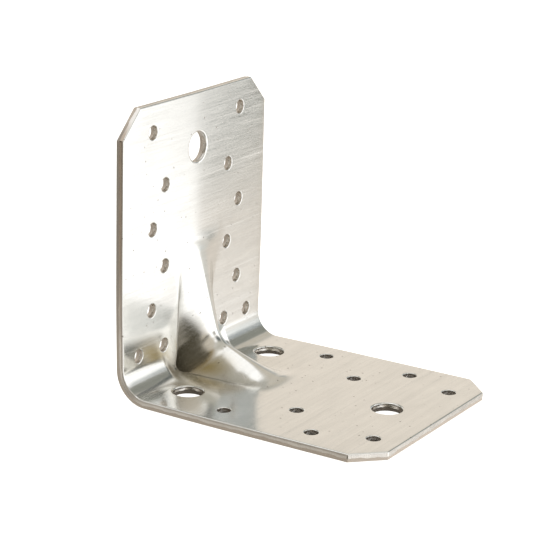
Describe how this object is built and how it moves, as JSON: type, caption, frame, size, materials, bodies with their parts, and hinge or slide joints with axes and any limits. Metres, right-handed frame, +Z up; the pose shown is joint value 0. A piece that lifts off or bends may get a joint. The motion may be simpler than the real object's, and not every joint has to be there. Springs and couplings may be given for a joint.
{
  "type": "reinforced angle bracket",
  "caption": "L-shaped sheet-steel bracket with perforated flanges, cut corners and a pressed reinforcing rib across the bend.",
  "frame": {"origin": "centre of the base flange's footprint, on its underside", "axes": "+X from the upright flange towards the free end of the base flange, +Y across the width, +Z up along the upright flange"},
  "size_m": [0.105, 0.09, 0.105],
  "materials": {
    "galvanised_steel": "pre-galvanised sheet, satin, with bare sheared edges"
  },
  "bodies": {
    "root": {"bracket": "galvanised_steel"}
  },
  "joints": []
}
